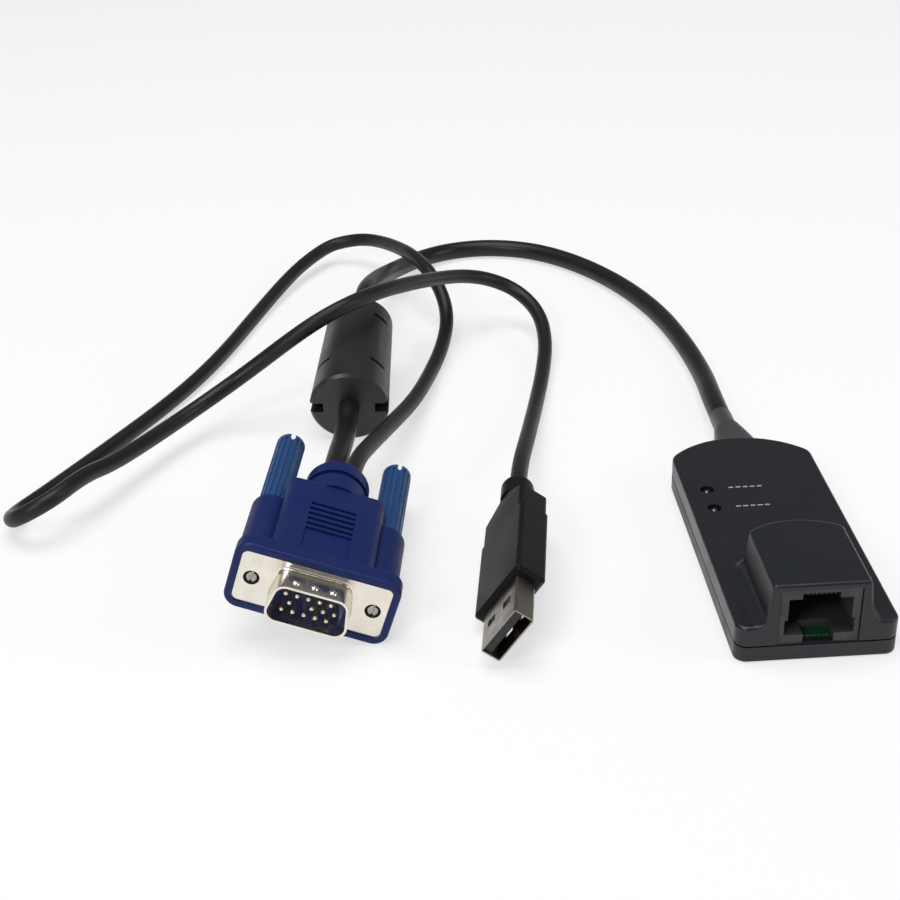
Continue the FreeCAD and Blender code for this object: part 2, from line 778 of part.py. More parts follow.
# ============================================================ the video plug
# ---- moulded hood: rim, grip, two screw sleeves and the cable collar ----
hood = new_body("vga_hood", VIDEO_AT)
rim_width = S.plate_width + S.rim_margin * 2
rim_height = S.plate_height + S.rim_margin * 2
pad_y(hood, -S.rim_proud, S.rim_proud + S.rim_depth, rounded, 0, 0, rim_width, rim_height,
      S.rim_corner)
soften(hood, S.rim_round, lambda e: flat_in(e, 1, -S.rim_proud) or flat_in(e, 1, S.rim_depth))
pad_y(hood, S.rim_depth - 1, S.hood_length - S.rim_depth + 1, rounded, 0, 0, S.hood_width,
      S.hood_height, S.hood_corner)
soften(hood, S.hood_rear_round, lambda e: flat_in(e, 1, S.hood_length))
for side in (-1, 1):
    pad_y(hood, S.rim_depth - 1, S.sleeve_length - S.rim_depth + 1, circle,
          side * S.screw_spacing / 2, 0, S.sleeve_radius)
pad_y(hood, S.hood_length - 1, S.collar_length + 1, circle, 0, 0, S.collar_radius)
soften(hood, S.collar_round, lambda e: flat_in(e, 1, COLLAR_END))
sk = sketch(hood, "XY_Plane")
groove_y = S.hood_length + S.collar_groove_place
rectangle(sk, S.collar_radius - S.collar_groove_depth, groove_y, S.collar_radius + 1,
          groove_y + S.collar_groove_width)
ring = hood.newObject("PartDesign::Groove", "Groove")
ring.Profile = sk
ring.ReferenceAxis = (sk, ["V_Axis"])
ring.Angle = 360
settled(ring)
for face in (-1, 1):
    level = face * S.hood_height / 2
    sk = sketch(hood, "XY_Plane", level)
    for i in range(int(S.grip_count.value)):
        y = S.grip_start + S.grip_pitch * i
        rectangle(sk, -S.grip_width / 2, y, S.grip_width / 2, y + S.grip_groove)
    pocket(hood, sk, S.grip_depth, face < 0)
    sk = sketch(hood, "XY_Plane", level)
    rectangle(sk, -S.grip_width / 2, S.panel_start, S.grip_width / 2,
              S.panel_start + S.panel_length)
    pocket(hood, sk, S.panel_depth, face < 0)
# seat of the metal plate, pocket behind it and the screw bores
cut_y(hood, -S.rim_proud - 1, S.rim_proud + 1 + S.plate_thick, rounded, 0, 0, S.plate_width,
      S.plate_height, S.plate_corner)
cut_y(hood, 0, S.insulator_back + S.plate_thick, rectangle, -S.insulator_width / 2,
      -S.insulator_height / 2, S.insulator_width / 2, S.insulator_height / 2)
for side in (-1, 1):
    x = side * S.screw_spacing / 2
    cut_y(hood, 0, S.hood_length, circle, x, 0, S.screw_radius + S.screw_gap)
    cut_y(hood, S.knob_start, S.hood_length, circle, x, 0, S.knob_radius + S.knob_gap)


# ---- metal face: flange plate and the flared D-shaped shell, wide side down
def dee(sk, inset):
    """The D section, wide side down; every inset keeps the corner centres."""
    slant = math.radians(S.shell_slant.value)
    half, high, corner = S.shell_width / 2, S.shell_height / 2, S.shell_corner
    radius = corner - inset
    low_x = half - corner * (math.tan(slant) + 1 / math.cos(slant))
    high_x = low_x - (high - corner) * 2 * math.tan(slant)
    centres = [(low_x, corner - high), (high_x, high - corner), (-high_x, high - corner),
               (-low_x, corner - high)]
    angles = [-math.pi / 2, slant, math.pi / 2, math.pi - slant, 1.5 * math.pi]
    for (x, z), start, end in zip(centres, angles, angles[1:]):
        ring = Part.Circle(Vector(x.value, z.value, 0), Vector(0, 0, 1), radius.value)
        sk.addGeometry(Part.ArcOfCircle(ring, start, end), False)
    for k in range(4):
        sk.addGeometry(Part.LineSegment(sk.Geometry[k].EndPoint,
                                        sk.Geometry[(k + 1) % 4].StartPoint), False)
    for k, (x, z) in enumerate(centres):
        sk.addConstraint(Sketcher.Constraint("Tangent", k, 2, 4 + k, 1))
        sk.addConstraint(Sketcher.Constraint("Tangent", (k + 1) % 4, 1, 4 + k, 2))
        pin_point(sk, k, 3, x, z)
        hold_radius(sk, k, radius)


face_plate = new_body("vga_shell", VIDEO_AT)
pad_y(face_plate, 0, S.plate_thick, rounded, 0, 0, S.plate_width, S.plate_height,
      S.plate_corner)
pad_y(face_plate, -S.shell_depth, S.shell_depth + S.plate_thick / 2, dee, 0)
soften(face_plate, S.shell_flare, lambda e: flat_in(e, 1, 0) and abs(mid(e).x) < S.shell_width.value / 2
       + 0.1 and abs(mid(e).z) < S.shell_height.value / 2 + 0.1)
for i in (-1, 0, 1):
    bump = face_plate.newObject("PartDesign::AdditiveSphere", "Dimple")
    bind(bump, Radius=S.dimple_radius)
    bump.Placement = Placement(Vector((S.dimple_pitch * i).value, -S.dimple_place.value,
                               (S.shell_height / 2 + S.dimple_proud - S.dimple_radius).value),
                               Rotation())
    settled(bump)
inner = sketch(face_plate, "XZ_Plane", S.shell_depth + 1)
dee(inner, S.shell_wall)
pocket(face_plate, inner, S.shell_depth + S.plate_thick + 2)
for side in (-1, 1):
    cut_y(face_plate, -1, S.plate_thick + 2, circle, side * S.screw_spacing / 2, 0,
          S.screw_radius + S.screw_gap * 3)

# ---- insulator and its fourteen pins (one place of the middle row is blank)
insulator = new_body("vga_insulator", VIDEO_AT)
sk = sketch(insulator, "XZ_Plane", S.insulator_proud)
dee(sk, S.shell_wall)
pad(insulator, sk, S.insulator_proud + S.plate_thick, True)
pad_y(insulator, S.plate_thick, S.insulator_back, rectangle, -S.insulator_width / 2,
      -S.insulator_height / 2, S.insulator_width / 2, S.insulator_height / 2)
places = []
for row, shift in ((1, 0), (0, 0.5), (-1, 0)):
    for i in range(-2, 3):
        if row == 0 and i == -1:
            continue
        places.append((S.pin_shift + S.pin_pitch * (i + shift), S.pin_rows * row))
sk = sketch(insulator, "XZ_Plane", S.insulator_proud + 1)
for x, z in places:
    circle(sk, x, z, S.pin_radius)
pocket(insulator, sk, S.insulator_back + S.plate_thick + S.insulator_proud + 2)
group_of("vga_pins", [rod(x, -S.pin_reach, z, S.pin_radius,
                          S.pin_reach + S.plate_thick + S.insulator_back) for x, z in places],
         VIDEO_AT)

# ---- thumbscrews: splined knobs that turn in the sleeves, on steel screws --
for label, side in (("thumbscrew_left", -1), ("thumbscrew_right", 1)):
    x = side * S.screw_spacing / 2
    knob = new_body(label + "_knob", VIDEO_AT)
    pad_y(knob, S.knob_start + S.knob_end_gap, S.knob_end - S.knob_start - S.knob_end_gap, circle,
          x, 0, S.knob_radius)
    soften(knob, S.knob_bevel, lambda e: flat_in(e, 1, S.knob_end), "Chamfer")
    sk = sketch(knob, "XZ_Plane", -(S.sleeve_length + S.spline_gap))
    for i in range(int(S.spline_count.value)):
        a = 2 * math.pi * i / S.spline_count.value
        circle(sk, x + S.knob_radius * math.cos(a), S.knob_radius * math.sin(a), S.spline_radius)
    pocket(knob, sk, S.knob_end - S.sleeve_length - S.spline_gap - S.spline_tail)
    cut_y(knob, S.knob_end - S.knob_slot_depth, S.knob_slot_depth + 1, centred, x, 0,
          S.knob_slot_width, S.knob_radius * 3)
    cut_y(knob, S.knob_start - 1, S.screw_bite + 1, circle, x, 0, S.screw_radius)
    screw = rod(x, S.screw_tip, 0, S.screw_radius, S.knob_start + S.screw_bite - S.screw_tip)
    group_of(label + "_screw", [screw], VIDEO_AT)

# ============================================================== the usb plug
shell = new_body("usb_shell", USB_AT)
pad_y(shell, 0, S.usb_exposed + S.usb_buried, rounded, 0, 0, S.usb_width, S.usb_height,
      S.usb_corner)
IN_W, IN_H = S.usb_width - S.usb_wall * 2, S.usb_height - S.usb_wall * 2
cut_y(shell, -1, S.usb_exposed + S.usb_buried + 2, centred, 0, 0, IN_W, IN_H)
cut_z(shell, -S.usb_height, S.usb_height * 2, rectangle, -S.usb_window_offset
      - S.usb_window_width / 2, S.usb_window_back, -S.usb_window_offset + S.usb_window_width / 2,
      S.usb_window_back + S.usb_window_length)
cut_z(shell, -S.usb_height, S.usb_height * 2, rectangle, S.usb_window_offset
      - S.usb_window_width / 2, S.usb_window_back, S.usb_window_offset + S.usb_window_width / 2,
      S.usb_window_back + S.usb_window_length)
# black tongue against the upper wall, on a base that fills the shell
tongue = new_body("usb_tongue", USB_AT)
pad_y(tongue, S.tongue_setback, S.usb_exposed + S.usb_buried - S.tongue_setback, rectangle,
      -IN_W / 2, IN_H / 2 - S.tongue_thick, IN_W / 2, IN_H / 2)
pad_y(tongue, S.usb_exposed, S.usb_buried, centred, 0, 0, IN_W, IN_H)
group_of("usb_contacts", [
    block(x - S.usb_contact_width / 2, S.usb_contact_start,
          IN_H / 2 - S.tongue_thick - S.usb_contact_thick, S.usb_contact_width,
          S.usb_contact_length, S.usb_contact_thick)
    for x in (-S.usb_contact_outer, -S.usb_contact_inner, S.usb_contact_inner,
              S.usb_contact_outer)], USB_AT)
# moulded grip: a block with a bevelled front, a step, a taper and a neck
mould = new_body("usb_overmould", USB_AT)
pad_y(mould, S.usb_exposed, S.mould_block_length, rounded, 0, 0, S.mould_width, S.mould_height,
      S.mould_corner)
soften(mould, S.mould_front_bevel, lambda e: flat_in(e, 1, S.usb_exposed), "Chamfer")
pad_y(mould, MOULD_END - 1, S.mould_rear_length + 1, rounded, 0, 0,
      S.mould_width - S.mould_step * 2, S.mould_height, S.mould_corner)
a = sketch(mould, "XZ_Plane", -NECK_START)
rounded(a, 0, 0, S.mould_width - S.mould_step * 2, S.mould_height, S.mould_corner)
b = sketch(mould, "XZ_Plane", -(NECK_START + S.mould_taper))
WAIST = S.neck_radius - S.neck_step
rounded(b, 0, 0, WAIST * 2, WAIST * 2, WAIST * 0.9)
loft(mould, a, b)
pad_y(mould, NECK_START + S.mould_taper, S.neck_length, circle, 0, 0, S.neck_radius)
soften(mould, S.neck_round, lambda e: flat_in(e, 1, USB_END))
cut_y(mould, S.usb_exposed - 1, S.usb_buried + 1, rounded, 0, 0, S.usb_width, S.usb_height,
      S.usb_corner)


# ================================================================ the cables
# Each cable is straight runs joined by tangent arcs; every arc takes 0.45 of
# the shorter run beside it. The ends follow the pieces they leave.
def cable(label, points, radius):
    points = [Vector(p) for p in points]
    runs = [b - a for a, b in zip(points, points[1:])]
    edges, here, radii, length = [], points[0], [], 0.0
    for k in range(1, len(points) - 1):
        before, after = runs[k - 1], runs[k]
        turn = before.getAngle(after)
        reach = 0.45 * min(before.Length, after.Length)
        bend = reach / math.tan(turn / 2)
        u, v = Vector(before).normalize(), Vector(after).normalize()
        start, stop = points[k] - u * reach, points[k] + v * reach
        centre = points[k] + (v - u).normalize() * (bend / math.cos(turn / 2))
        middle = centre + (points[k] - centre).normalize() * bend
        edges.append(Part.LineSegment(here, start).toShape())
        edges.append(Part.Arc(start, middle, stop).toShape())
        radii.append(bend)
        length += (start - here).Length + bend * turn
        here = stop
    edges.append(Part.LineSegment(here, points[-1]).toShape())
    length += (points[-1] - here).Length
    path = Part.Wire(edges)
    ring = Part.Wire(Part.makeCircle(radius, points[0], runs[0]))
    tube = path.makePipeShell([ring], True, False)
    section = math.pi * radius ** 2
    if abs(tube.Volume / (section * length) - 1) > 0.01:
        raise RuntimeError("%s: volume %.1f for %.1f" % (label, tube.Volume, section * length))
    obj = doc.addObject("Part::Feature", "Cable")
    obj.Shape = tube
    keep(label, obj)
    print("%s: %.1f mm long, radii %s" % (label, length, " ".join("%.1f" % r for r in radii)))


def on(place, x, y, z):
    """A point of a loose piece, in the module frame."""
    return place.multVec(Vector(q(x).value, q(y).value, q(z).value))


boot_exit = (S.boot_offset.value, BOOT_END.value, S.boot_axis_height.value)
cable("main_cable", [
    boot_exit, (boot_exit[0], boot_exit[1] + 10.2, boot_exit[2]), (2.0, 73.5, 2.9),
    (0.8, 94.6, 2.7), (-2.8, 116.9, 2.7), (-10.0, 137.6, 2.7), (-20.0, 154.9, 2.7),
    (-31.5, 167.0, 2.7), (-45.0, 172.6, 2.7), (-58.6, 171.6, 2.7), (-69.6, 164.2, 3.2),
    (-77.2, 148.5, 6.4), (-82.3, 128.0, 12.4), on(FERRITE_AT, 0, S.ferrite_length + 12.6, 0),
    on(FERRITE_AT, 0, -11, 0), on(VIDEO_AT, -1.6, COLLAR_END + 13, -1.0),
    on(VIDEO_AT, -1.6, COLLAR_END, -1.0)], S.thick_radius.value)
cable("usb_cable", [
    on(VIDEO_AT, 2.3, COLLAR_END, 2.2), on(VIDEO_AT, 2.3, COLLAR_END + 9, 2.2),
    (-85.6, 29.8, 11.5), (-80.1, 46.9, 8.0), (-74.5, 63.8, 5.0), (-69.7, 82.5, 3.0),
    (-65.5, 99.1, 3.0), (-63.1, 112.9, 5.2), (-63.9, 124.0, 9.6), (-67.6, 135.4, 14.2),
    (-72.6, 148.5, 16.0), (-77.6, 160.8, 13.6), (-84.0, 170.5, 10.0), (-96.5, 171.5, 7.0),
    (-104.5, 161.5, 5.0), (-110.3, 151.0, 3.5), (-118.6, 128.4, 2.1), (-125.5, 105.7, 2.0),
    (-132.6, 86.9, 2.0), (-139.8, 71.8, 2.0), (-147.4, 57.8, 2.0), (-155.6, 43.3, 2.0),
    (-163.0, 30.5, 2.0), (-169.0, 19.8, 2.4), (-166.0, 10.5, 7.0), (-157.3, 11.2, 11.2),
    (-151.5, 22.6, 11.0), (-146.5, 30.9, 9.0), (-139.6, 43.1, 8.0), (-131.6, 55.6, 8.0),
    (-122.3, 63.0, 11.2), (-113.7, 64.9, 16.5), (-105.7, 64.7, 22.5), (-97.9, 65.4, 27.5),
    (-89.8, 69.6, 30.0), (-81.9, 79.0, 29.0), (-74.1, 91.5, 25.5), (-66.7, 103.7, 21.5),
    (-58.7, 114.6, 17.5), (-50.8, 119.9, 14.0), (-42.9, 118.9, 10.5), (-37.5, 110.9, 7.0),
    (-36.9, 98.2, 4.0), (-39.5, 82.1, 2.4), (-43.5, 62.7, 2.6), (-47.4, 43.1, 4.8),
    on(USB_AT, 0, USB_END + 10, 0), on(USB_AT, 0, USB_END, 0)], S.thin_radius.value)

# ============================================================ check and write
doc.recompute()
for obj in doc.Objects:
    if "Invalid" in obj.State or "Error" in obj.State:
        raise RuntimeError("%s is %s" % (obj.Label, obj.State))
bad = [label for label, obj in parts.items()
       if obj.Shape.isNull() or not obj.Shape.isValid() or not obj.Shape.Solids]
if bad:
    raise RuntimeError("no valid solid in %s" % ", ".join(bad))
os.makedirs("parts", exist_ok=True)
for label, obj in parts.items():
    obj.Shape.exportStep("parts/%s.step" % label)
print("%d nodes" % len(parts))
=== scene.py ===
"""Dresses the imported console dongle: cords, materials, marks, jack teeth, studio."""
import math

import bmesh
import bpy
from bpy.props import (FloatProperty, FloatVectorProperty, IntProperty,
                       PointerProperty)
from bpy.types import Operator, Panel, PropertyGroup
from mathutils import Matrix, Vector


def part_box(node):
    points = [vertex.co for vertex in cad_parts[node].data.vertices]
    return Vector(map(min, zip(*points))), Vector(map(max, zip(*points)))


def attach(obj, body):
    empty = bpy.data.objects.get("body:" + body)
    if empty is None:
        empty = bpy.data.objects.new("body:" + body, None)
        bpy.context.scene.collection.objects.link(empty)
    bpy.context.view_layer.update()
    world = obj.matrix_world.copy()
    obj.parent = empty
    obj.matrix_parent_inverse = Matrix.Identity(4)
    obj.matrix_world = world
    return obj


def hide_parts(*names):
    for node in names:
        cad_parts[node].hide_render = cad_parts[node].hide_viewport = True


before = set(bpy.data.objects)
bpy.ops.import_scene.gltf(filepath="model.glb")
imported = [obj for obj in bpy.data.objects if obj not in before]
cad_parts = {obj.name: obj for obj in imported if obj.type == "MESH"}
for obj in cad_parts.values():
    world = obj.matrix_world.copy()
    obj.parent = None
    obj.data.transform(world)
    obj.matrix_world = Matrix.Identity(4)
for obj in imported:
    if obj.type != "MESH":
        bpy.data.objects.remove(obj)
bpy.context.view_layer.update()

bl_info = {
    "name": "Console dongle",
    "version": (1, 0, 0),
    "blender": (4, 5, 0),
    "location": "View3D > Sidebar > Dongle",
    "description": "Cords, materials and small parts of a console dongle "
                   "over its packed CAD model",
    "category": "Object",
}

MM = 0.001
ADAPTER = "adapter"
COLOUR_A, COLOUR_B, COLOUR_OUT = 6, 7, 2   # sockets of a Mix node that mixes colours


# ---- small helpers ----
def mm(*values):
    """A point or size given in millimetres, in metres."""
    return tuple(v * MM for v in values)


def plug_frame(x, y, z, yaw, pitch, roll=0.0):
    """The place of a plug or sleeve: millimetres and degrees to a matrix in metres."""
    turn = [Matrix.Rotation(math.radians(a), 4, axis)
            for a, axis in ((yaw, "Z"), (pitch, "X"), (roll, "Y"))]
    return Matrix.Translation(mm(x, y, z)) @ turn[0] @ turn[1] @ turn[2]


VIDEO_AT = plug_frame(-98.4, -33.2, 12.0, -7.0, 1.2, 18.2)
USB_AT = plug_frame(-60.7, -45.7, 8.25, -7.6, 0.0, -55.5)
FERRITE_AT = plug_frame(-91.0, 52.0, 9.7, -5.32, 8.76)


def at(place, *point):
    """A point given in millimetres in a plug's own frame, in metres in the row frame."""
    return tuple(place @ Vector(mm(*point)))


def colour(text):
    """An sRGB hex colour as the linear values that shader sockets take."""
    values = [int(text[i:i + 2], 16) / 255 for i in (1, 3, 5)]
    linear = [v / 12.92 if v <= 0.04045 else ((v + 0.055) / 1.055) ** 2.4 for v in values]
    return (*linear, 1.0)


def add_node(tree, kind, inputs=None, **settings):
    """A node with its settings, its constants and its links (a socket is linked)."""
    node = tree.nodes.new(kind)
    for name, value in settings.items():
        setattr(node, name, value)
    for name, value in (inputs or {}).items():
        if isinstance(value, bpy.types.NodeSocket):
            tree.links.new(value, node.inputs[name])
        else:
            node.inputs[name].default_value = value
    return node


def per_mm(size):
    """Texture scale at which one feature of a pattern is size millimetres wide."""
    return 1.0 / (size * MM)


# ---- materials ----
# Each finish: base colour, darker or dustier colour that it drifts to, size of that
# drift in mm, roughness from and to, size of the surface grain in mm, height of the
# grain in mm, stretch of the grain along X, Y and Z, and constants of the shader.
# The grain of the moulds, platings and brushing is finer on the real thing, and is
# drawn this coarse so that it shows.
FINISHES = {
    # Injection-moulded ABS with a fine spark-eroded texture: satin, with soft
    # highlights on the rounded edges and a slightly blue charcoal.
    "moulded ABS, charcoal": dict(
        base="#1a1e24", drift="#14171b", drift_mm=14, rough=(0.3, 0.42),
        grain_mm=0.22, grain_height=0.006, shader={"Specular IOR Level": 0.42}),
    # The lower shell of the same ABS, a little duller from lying on desks.
    "moulded ABS, charcoal, scuffed": dict(
        base="#1b1f25", drift="#131619", drift_mm=9, rough=(0.34, 0.5),
        grain_mm=0.25, grain_height=0.008, shader={"Specular IOR Level": 0.42}),
    # Glass-filled PBT of the jack block: greyer and duller than the shell round it.
    "glass-filled PBT, dark grey": dict(
        base="#3b3b3d", drift="#2d2d2f", drift_mm=3, rough=(0.5, 0.66),
        grain_mm=0.12, grain_height=0.006, shader={"Specular IOR Level": 0.45}),
    # Glass-fibre board under green solder mask: glossy, with slight ripples.
    "FR-4 board, green solder mask": dict(
        base="#0b5a33", drift="#07401f", drift_mm=2.5, rough=(0.22, 0.36),
        grain_mm=0.35, grain_height=0.01, shader={"Coat Weight": 0.4, "Coat Roughness": 0.12}),
    # Spring contacts of phosphor bronze with hard gold over nickel.
    "gold-plated phosphor bronze": dict(
        base="#d6a84a", drift="#b98a35", drift_mm=0.8, rough=(0.2, 0.34),
        grain_mm=0.08, grain_height=0.002, shader={"Metallic": 1.0}),
    # Smoked acrylic lamp lenses: nearly black when unlit, with sharp reflections.
    "smoked acrylic": dict(
        base="#0c0d10", drift="#16130f", drift_mm=1.2, rough=(0.04, 0.1),
        grain_mm=0.6, grain_height=0.002,
        shader={"Coat Weight": 0.8, "Coat Roughness": 0.04, "IOR": 1.49}),
    # Soft PVC of the strain relief: warm dark grey, matt, with a velvety edge.
    "soft PVC, warm grey": dict(
        base="#2f2e2e", drift="#252424", drift_mm=6, rough=(0.5, 0.64),
        grain_mm=0.18, grain_height=0.008,
        shader={"Sheen Weight": 0.12, "Sheen Roughness": 0.5}),
    # Extruded PVC jacket: near black, satin, with an uneven skin and paler stretches.
    "PVC cable jacket, black": dict(
        base="#131314", drift="#1b1b1c", drift_mm=18, rough=(0.36, 0.5),
        grain_mm=0.3, grain_height=0.012,
        shader={"Sheen Weight": 0.02, "Sheen Roughness": 0.4, "Specular IOR Level": 0.32}),
    # Moulded polyamide sleeve over the ferrite, satin dark grey.
    "polyamide sleeve, dark grey": dict(
        base="#262627", drift="#1d1d1e", drift_mm=10, rough=(0.3, 0.44),
        grain_mm=0.25, grain_height=0.008, shader={"Specular IOR Level": 0.5}),
    # Sintered ferrite: grainy grey-black ceramic.
    "sintered ferrite": dict(
        base="#2b2a2c", drift="#1c1c1e", drift_mm=1.5, rough=(0.55, 0.75),
        grain_mm=0.3, grain_height=0.02, shader={"Specular IOR Level": 0.5}),
    # Navy PVC moulded over the video plug: satin, drifting between two close blues.
    "PVC overmould, navy": dict(
        base="#0d2260", drift="#0a1b4d", drift_mm=8, rough=(0.4, 0.56),
        grain_mm=0.28, grain_height=0.012, shader={"Specular IOR Level": 0.28}),
    # Drawn steel shell with bright nickel: warm white, barely rippled.
    "nickel-plated steel": dict(
        base="#f0ebe1", drift="#dfd8ca", drift_mm=3, rough=(0.16, 0.3),
        grain_mm=0.5, grain_height=0.004, shader={"Metallic": 1.0}),
    # Blue-black PBT insert of the video plug, smooth from its mould.
    "PBT insert, blue-black": dict(
        base="#11307c", drift="#0a1844", drift_mm=5, rough=(0.22, 0.36),
        grain_mm=0.15, grain_height=0.003, shader={"Specular IOR Level": 0.5}),
    # Turned contact pins with bright nickel and gold flash.
    "flash-plated pins": dict(
        base="#efe9dc", drift="#d8c79a", drift_mm=0.6, rough=(0.14, 0.26),
        grain_mm=0.1, grain_height=0.001, shader={"Metallic": 1.0}),
    # Lighter blue PVC of the thumbscrew knobs, satin and a little uneven in tone.
    "PVC knob, blue": dict(
        base="#1d4a80", drift="#163a66", drift_mm=4, rough=(0.38, 0.52),
        grain_mm=0.22, grain_height=0.01, shader={"Specular IOR Level": 0.5}),
    # Zinc-plated steel screws: greyer and rougher than the nickel.
    "zinc-plated steel": dict(
        base="#b9b6ae", drift="#94918a", drift_mm=0.9, rough=(0.24, 0.42),
        grain_mm=0.25, grain_height=0.006, shader={"Metallic": 1.0}),
    # Folded steel of the serial plug's shell: darker nickel, brushed along its length.
    "nickel-plated steel, brushed": dict(
        base="#a9a29a", drift="#7f7870", drift_mm=4, rough=(0.22, 0.4),
        grain_mm=0.12, grain_height=0.003, stretch=(1, 0.08, 1),
        shader={"Metallic": 1.0}),
    # Black PBT tongue that carries the serial plug's contacts.
    "PBT tongue, black": dict(
        base="#121213", drift="#1a1a1b", drift_mm=3, rough=(0.35, 0.5),
        grain_mm=0.15, grain_height=0.004, shader={"Specular IOR Level": 0.5}),
    # Black PVC of the serial plug's grip with a coarse eroded texture.
    "PVC overmould, black": dict(
        base="#0d0d0e", drift="#131314", drift_mm=11, rough=(0.42, 0.5),
        grain_mm=0.4, grain_height=0.02, shader={"Specular IOR Level": 0.17}),
    # Tinned copper pads at the board's front edge: bright, a little lumpy.
    "tinned copper": dict(
        base="#d9dcd8", drift="#b4b8b2", drift_mm=0.5, rough=(0.2, 0.4),
        grain_mm=0.2, grain_height=0.008, shader={"Metallic": 1.0}),
    # Pale grey pad-printing ink: matt, of slightly uneven density.
    "pad-printing ink, pale grey": dict(
        base="#a6a7a3", drift="#94958f", drift_mm=0.9, rough=(0.5, 0.65),
        grain_mm=0.15, grain_height=0.0005, shader={"Specular IOR Level": 0.4}),
}


def finish(name):
    """The named finish as a node material, made once."""
    made = bpy.data.materials.get(name)
    if made:
        return made
    spec = FINISHES[name]
    made = bpy.data.materials.new(name)
    made.use_nodes = True
    tree = made.node_tree
    shader = tree.nodes["Principled BSDF"]
    for socket, value in spec["shader"].items():
        shader.inputs[socket].default_value = value
    place = add_node(tree, "ShaderNodeTexCoord").outputs["Object"]
    # slow drift of tone and dullness, as flow marks, dust and handling leave it
    drift = add_node(tree, "ShaderNodeTexNoise", {
        "Vector": place, "Scale": per_mm(spec["drift_mm"]), "Detail": 3.0}).outputs["Fac"]
    tone = add_node(tree, "ShaderNodeMix", {0: drift}, data_type="RGBA")
    tone.inputs[COLOUR_A].default_value = colour(spec["base"])
    tone.inputs[COLOUR_B].default_value = colour(spec["drift"])
    tree.links.new(tone.outputs[COLOUR_OUT], shader.inputs["Base Color"])
    low, high = spec["rough"]
    dull = add_node(tree, "ShaderNodeMapRange", {
        "Value": drift, "From Min": 0.3, "From Max": 0.7, "To Min": low, "To Max": high})
    tree.links.new(dull.outputs["Result"], shader.inputs["Roughness"])
    # fine grain of the mould, drawing or brushing
    stretched = add_node(tree, "ShaderNodeMapping", {
        "Vector": place, "Scale": spec.get("stretch", (1, 1, 1))}).outputs["Vector"]
    grain = add_node(tree, "ShaderNodeTexNoise", {
        "Vector": stretched, "Scale": per_mm(spec["grain_mm"]), "Detail": 2.0}).outputs["Fac"]
    bump = add_node(tree, "ShaderNodeBump", {
        "Height": grain, "Strength": 1.0, "Distance": spec["grain_height"] * MM})
    tree.links.new(bump.outputs["Normal"], shader.inputs["Normal"])
    return made


def dress(names, finish_name):
    """Gives CAD nodes a finish through their objects' material slots."""
    for name in names:
        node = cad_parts[name]
        for material_slot in node.material_slots:
            material_slot.link = "OBJECT"
            material_slot.material = finish(finish_name)


# ---- pieces in mesh and curve code ----
def cord_curve(name, points, diameter, replaced):
    """A round cable: one smooth NURBS line through the route's control points."""
    line = bpy.data.curves.new(name, "CURVE")
    line.dimensions = "3D"
    line.bevel_depth = diameter / 2
    line.bevel_resolution = 6
    line.resolution_u = 10
    line.use_fill_caps = True
    spline = line.splines.new("NURBS")
    spline.points.add(len(points) - 1)
    for control, point in zip(spline.points, points):
        control.co = (*point, 1.0)
    spline.order_u = 3
    spline.use_endpoint_u = True
    piece = bpy.data.objects.new(name, line)
    bpy.context.scene.collection.objects.link(piece)
    line.materials.append(finish("PVC cable jacket, black"))
    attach(piece, ADAPTER)
    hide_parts(replaced)
    return piece


def mesh_piece(name, verts, faces, place, finish_name, slot, body=ADAPTER, smooth=30):
    """A closed mesh, its points in millimetres and then put at place, riding on a body."""
    mesh = bpy.data.meshes.new(name)
    mesh.from_pydata([mm(*v) for v in verts], [], faces)
    return mesh_object(name, mesh, place, finish_name, body, smooth)


def mesh_object(name, mesh, place, finish_name, body=ADAPTER, smooth=30):
    """An object at the origin whose mesh is put at place, dressed and riding on a body."""
    mesh.transform(place)
    tidy = bmesh.new()
    tidy.from_mesh(mesh)
    bmesh.ops.recalc_face_normals(tidy, faces=tidy.faces)
    tidy.to_mesh(mesh)
    tidy.free()
    mesh.shade_smooth()
    mesh.set_sharp_from_angle(angle=math.radians(smooth))
    mesh.materials.clear()
    mesh.materials.append(finish(finish_name))
    piece = bpy.data.objects.new(name, mesh)
    bpy.context.scene.collection.objects.link(piece)
    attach(piece, body)
    return piece


def turned(profile, sides=32):
    """Points and faces of a turned solid: (radius, height) pairs round the Z axis."""
    verts, faces, rings = [], [], []
    for radius, height in profile:
        if radius == 0:
            rings.append([len(verts)] * sides)
            verts.append((0, 0, height))
            continue
        rings.append(list(range(len(verts), len(verts) + sides)))
        verts += [(radius * math.cos(2 * math.pi * k / sides),
                   radius * math.sin(2 * math.pi * k / sides), height) for k in range(sides)]
    for low, high in zip(rings, rings[1:]):
        for k in range(sides):
            n = (k + 1) % sides
            face = list(dict.fromkeys((low[k], low[n], high[n], high[k])))
            if len(face) > 2:
                faces.append(face)
    return verts, faces


def lofted(sections, sides=48):
    """Points and faces of a solid along Y: (y, half width, half height, squareness)."""
    verts, faces = [], []
    for y, half_w, half_h, power in sections:
        for k in range(sides):
            c, s = (f(2 * math.pi * k / sides) for f in (math.cos, math.sin))
            verts.append((math.copysign(abs(c) ** (2 / power), c) * half_w, y,
                          math.copysign(abs(s) ** (2 / power), s) * half_h))
    for ring in range(len(sections) - 1):
        for k in range(sides):
            n = (k + 1) % sides
            faces.append((ring * sides + k, ring * sides + n,
                          (ring + 1) * sides + n, (ring + 1) * sides + k))
    faces.append(tuple(range(sides)))
    faces.append(tuple(range(len(verts) - sides, len(verts))))
    return verts, faces


